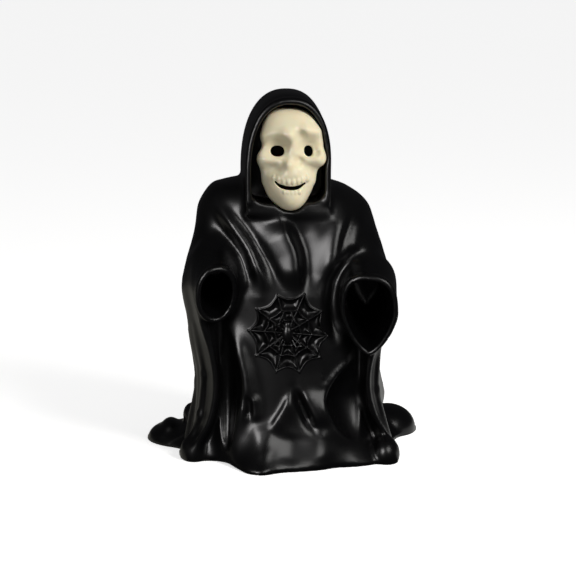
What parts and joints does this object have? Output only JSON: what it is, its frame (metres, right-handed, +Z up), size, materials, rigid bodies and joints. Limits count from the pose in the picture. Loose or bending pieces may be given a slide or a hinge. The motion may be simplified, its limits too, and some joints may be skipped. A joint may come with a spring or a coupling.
{
  "type": "grim reaper figurine",
  "caption": "Standing hooded reaper figure in gloss black moulded plastic, with empty bell sleeves, a spider web relief on the chest and a cream skull mask in the hood.",
  "frame": {"origin": "on the floor, in the middle of the figure's flat underside", "axes": "+Z up to the top of the hood, -Y the way the figure faces, +X to the viewer's right"},
  "size_m": [0.2168, 0.1635, 0.2804],
  "materials": {
    "robe": "black plastic, moulded gloss",
    "skull": "cream plastic, waxy satin"
  },
  "bodies": {
    "root": {"robe": "robe", "skull": "skull"}
  },
  "joints": []
}
